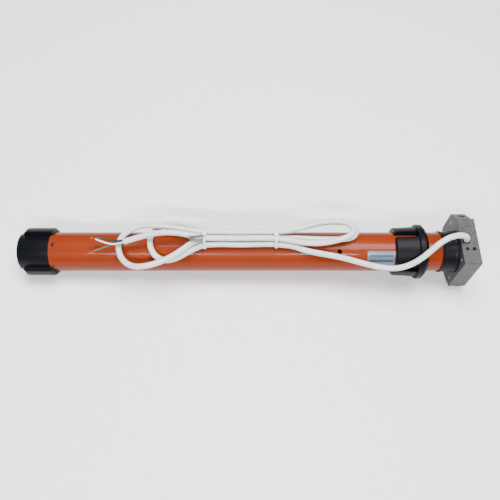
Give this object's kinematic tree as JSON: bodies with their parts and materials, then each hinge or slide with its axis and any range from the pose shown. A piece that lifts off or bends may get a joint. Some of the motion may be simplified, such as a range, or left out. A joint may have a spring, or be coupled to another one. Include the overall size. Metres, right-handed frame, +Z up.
{
  "type": "tubular awning motor",
  "caption": "Tubular awning motor with a drive wheel, a limit crown, a die-cast head with a manual crank socket, and its cable tied in a hank on the tube.",
  "frame": {"origin": "on the motor's axis, on the outer mounting face of the head", "axes": "+X along the motor axis and out of the head face, +Z up through the cable outlet, +Y away from the pictured front"},
  "size_m": [0.523, 0.0805, 0.0862],
  "materials": {
    "acetal": "moulded",
    "aluminium": "die-cast",
    "black_plastic": "moulded, fine texture",
    "brass": "bright",
    "bronze": "sintered",
    "cable_white": "soft sheath",
    "cast_zinc": "grey, sand textured",
    "contact_steel": "laminated",
    "copper": "enamelled wire",
    "copper_bare": "bare stranded wire",
    "core_black_sheath": "soft insulation",
    "core_blue_sheath": "soft insulation",
    "core_green_sheath": "soft insulation",
    "dark_steel": "oiled",
    "foil": "printed foil, left blank",
    "nylon_tie": "moulded",
    "rubber": "moulded",
    "steel": "bright",
    "tube_paint": "gloss orange paint",
    "white_plastic": "moulded"
  },
  "bodies": {
    "casing": {"motor_tube": "tube_paint", "tube_screws": "steel", "rating_label": "foil", "gearbox_end_cap": "black_plastic", "output_bush": "bronze", "head_collar": "black_plastic", "head_housing": "cast_zinc", "head_cover": "black_plastic", "head_screws": "steel", "cable_grommet": "rubber", "limit_frame": "acetal", "microswitches": "black_plastic", "limit_shafts": "steel", "crown_clip": "dark_steel", "cable_lead": "cable_white", "cable_hank": "cable_white", "core_black": "core_black_sheath", "core_white": "cable_white", "core_green": "core_green_sheath", "core_blue": "core_blue_sheath", "core_tips": "copper_bare", "cable_ties": "nylon_tie"},
    "cartridge": {"motor_can": "steel", "ring_gear": "acetal", "front_shield": "aluminium", "rear_shield": "aluminium", "rotor_bushes": "bronze", "stator_core": "contact_steel", "stator_windings": "copper", "capacitor": "white_plastic", "capacitor_cradle": "black_plastic", "cartridge_plug": "black_plastic", "override_shaft": "steel", "override_wheel": "brass", "brake_plate": "steel", "brake_magnet": "dark_steel", "brake_spring": "steel"},
    "armature": {"brake_armature": "dark_steel"},
    "rotor": {"rotor_core": "contact_steel", "rotor_shaft": "dark_steel", "brake_disc": "rubber"},
    "stage_one": {"carrier_1": "steel"},
    "stage_two": {"carrier_2": "steel"},
    "output": {"output_shaft": "steel", "drive_wheel": "black_plastic", "wheel_clip": "dark_steel"},
    "worm": {"override_worm": "steel"},
    "crown": {"limit_crown": "black_plastic"},
    "pinion": {"limit_pinion": "acetal"},
    "adjuster_near": {"limit_adjuster_near": "white_plastic"},
    "adjuster_far": {"limit_adjuster_far": "white_plastic"},
    "planet_three_a_body": {"planet_three_a": "dark_steel"},
    "planet_three_b_body": {"planet_three_b": "dark_steel"},
    "planet_three_c_body": {"planet_three_c": "dark_steel"},
    "planet_two_a_body": {"planet_two_a": "dark_steel"},
    "planet_two_b_body": {"planet_two_b": "dark_steel"},
    "planet_two_c_body": {"planet_two_c": "dark_steel"},
    "planet_one_a_body": {"planet_one_a": "acetal"},
    "planet_one_b_body": {"planet_one_b": "acetal"},
    "planet_one_c_body": {"planet_one_c": "acetal"}
  },
  "joints": [
    {"name": "override_turn", "type": "hinge", "parent": "casing", "child": "cartridge", "pos_m": [-0.2, 0, 0], "axis": [1, 0, 0], "continuous": true},
    {"name": "worm_spin", "type": "hinge", "parent": "casing", "child": "worm", "pos_m": [-0.011, 0.00778, -0.00778], "axis": [0, 0.7071, 0.7071], "continuous": true},
    {"name": "drive_spin", "type": "hinge", "parent": "cartridge", "child": "output", "pos_m": [-0.5, 0, 0], "axis": [1, 0, 0], "continuous": true},
    {"name": "stage_two_spin", "type": "hinge", "parent": "cartridge", "child": "stage_two", "pos_m": [-0.45, 0, 0], "axis": [1, 0, 0], "continuous": true},
    {"name": "stage_one_spin", "type": "hinge", "parent": "cartridge", "child": "stage_one", "pos_m": [-0.43, 0, 0], "axis": [1, 0, 0], "continuous": true},
    {"name": "rotor_spin", "type": "hinge", "parent": "cartridge", "child": "rotor", "pos_m": [-0.38, 0, 0], "axis": [1, 0, 0], "continuous": true},
    {"name": "crown_spin", "type": "hinge", "parent": "casing", "child": "crown", "pos_m": [-0.06, 0, 0], "axis": [1, 0, 0], "continuous": true},
    {"name": "pinion_spin", "type": "hinge", "parent": "casing", "child": "pinion", "pos_m": [-0.062, 0, -0.0192], "axis": [1, 0, 0], "continuous": true},
    {"name": "adjuster_near_turn", "type": "hinge", "parent": "casing", "child": "adjuster_near", "pos_m": [-0.0066, -0.0107, 0.02], "axis": [0, 0, 1], "continuous": true},
    {"name": "adjuster_far_turn", "type": "hinge", "parent": "casing", "child": "adjuster_far", "pos_m": [-0.0142, -0.0107, 0.02], "axis": [0, 0, 1], "continuous": true},
    {"name": "brake_slide", "type": "slide", "parent": "cartridge", "child": "armature", "axis": [1, 0, 0], "range_m": [0, 0.0003]},
    {"name": "planet_three_a_spin", "type": "hinge", "parent": "output", "child": "planet_three_a_body", "pos_m": [-0.4655, 0.0114, 0], "axis": [1, 0, 0], "continuous": true},
    {"name": "planet_three_b_spin", "type": "hinge", "parent": "output", "child": "planet_three_b_body", "pos_m": [-0.4655, -0.0057, 0.00987], "axis": [1, 0, 0], "continuous": true},
    {"name": "planet_three_c_spin", "type": "hinge", "parent": "output", "child": "planet_three_c_body", "pos_m": [-0.4655, -0.0057, -0.00987], "axis": [1, 0, 0], "continuous": true},
    {"name": "planet_two_a_spin", "type": "hinge", "parent": "stage_two", "child": "planet_two_a_body", "pos_m": [-0.4445, 0.0114, 0], "axis": [1, 0, 0], "continuous": true},
    {"name": "planet_two_b_spin", "type": "hinge", "parent": "stage_two", "child": "planet_two_b_body", "pos_m": [-0.4445, -0.0057, 0.00987], "axis": [1, 0, 0], "continuous": true},
    {"name": "planet_two_c_spin", "type": "hinge", "parent": "stage_two", "child": "planet_two_c_body", "pos_m": [-0.4445, -0.0057, -0.00987], "axis": [1, 0, 0], "continuous": true},
    {"name": "planet_one_a_spin", "type": "hinge", "parent": "stage_one", "child": "planet_one_a_body", "pos_m": [-0.4285, 0.0114, 0], "axis": [1, 0, 0], "continuous": true},
    {"name": "planet_one_b_spin", "type": "hinge", "parent": "stage_one", "child": "planet_one_b_body", "pos_m": [-0.4285, -0.0057, 0.00987], "axis": [1, 0, 0], "continuous": true},
    {"name": "planet_one_c_spin", "type": "hinge", "parent": "stage_one", "child": "planet_one_c_body", "pos_m": [-0.4285, -0.0057, -0.00987], "axis": [1, 0, 0], "continuous": true}
  ],
  "couplings": [
    {"joint": "worm_spin", "follows": "override_turn", "ratio": -18},
    {"joint": "stage_two_spin", "follows": "drive_spin", "ratio": 4.8},
    {"joint": "stage_one_spin", "follows": "drive_spin", "ratio": 23.04},
    {"joint": "rotor_spin", "follows": "drive_spin", "ratio": 110.59},
    {"joint": "pinion_spin", "follows": "crown_spin", "ratio": 5},
    {"joint": "planet_three_a_spin", "follows": "drive_spin", "ratio": -2.7143},
    {"joint": "planet_three_b_spin", "follows": "drive_spin", "ratio": -2.7143},
    {"joint": "planet_three_c_spin", "follows": "drive_spin", "ratio": -2.7143},
    {"joint": "planet_two_a_spin", "follows": "drive_spin", "ratio": -13.029},
    {"joint": "planet_two_b_spin", "follows": "drive_spin", "ratio": -13.029},
    {"joint": "planet_two_c_spin", "follows": "drive_spin", "ratio": -13.029},
    {"joint": "planet_one_a_spin", "follows": "drive_spin", "ratio": -62.537},
    {"joint": "planet_one_b_spin", "follows": "drive_spin", "ratio": -62.537},
    {"joint": "planet_one_c_spin", "follows": "drive_spin", "ratio": -62.537}
  ]
}
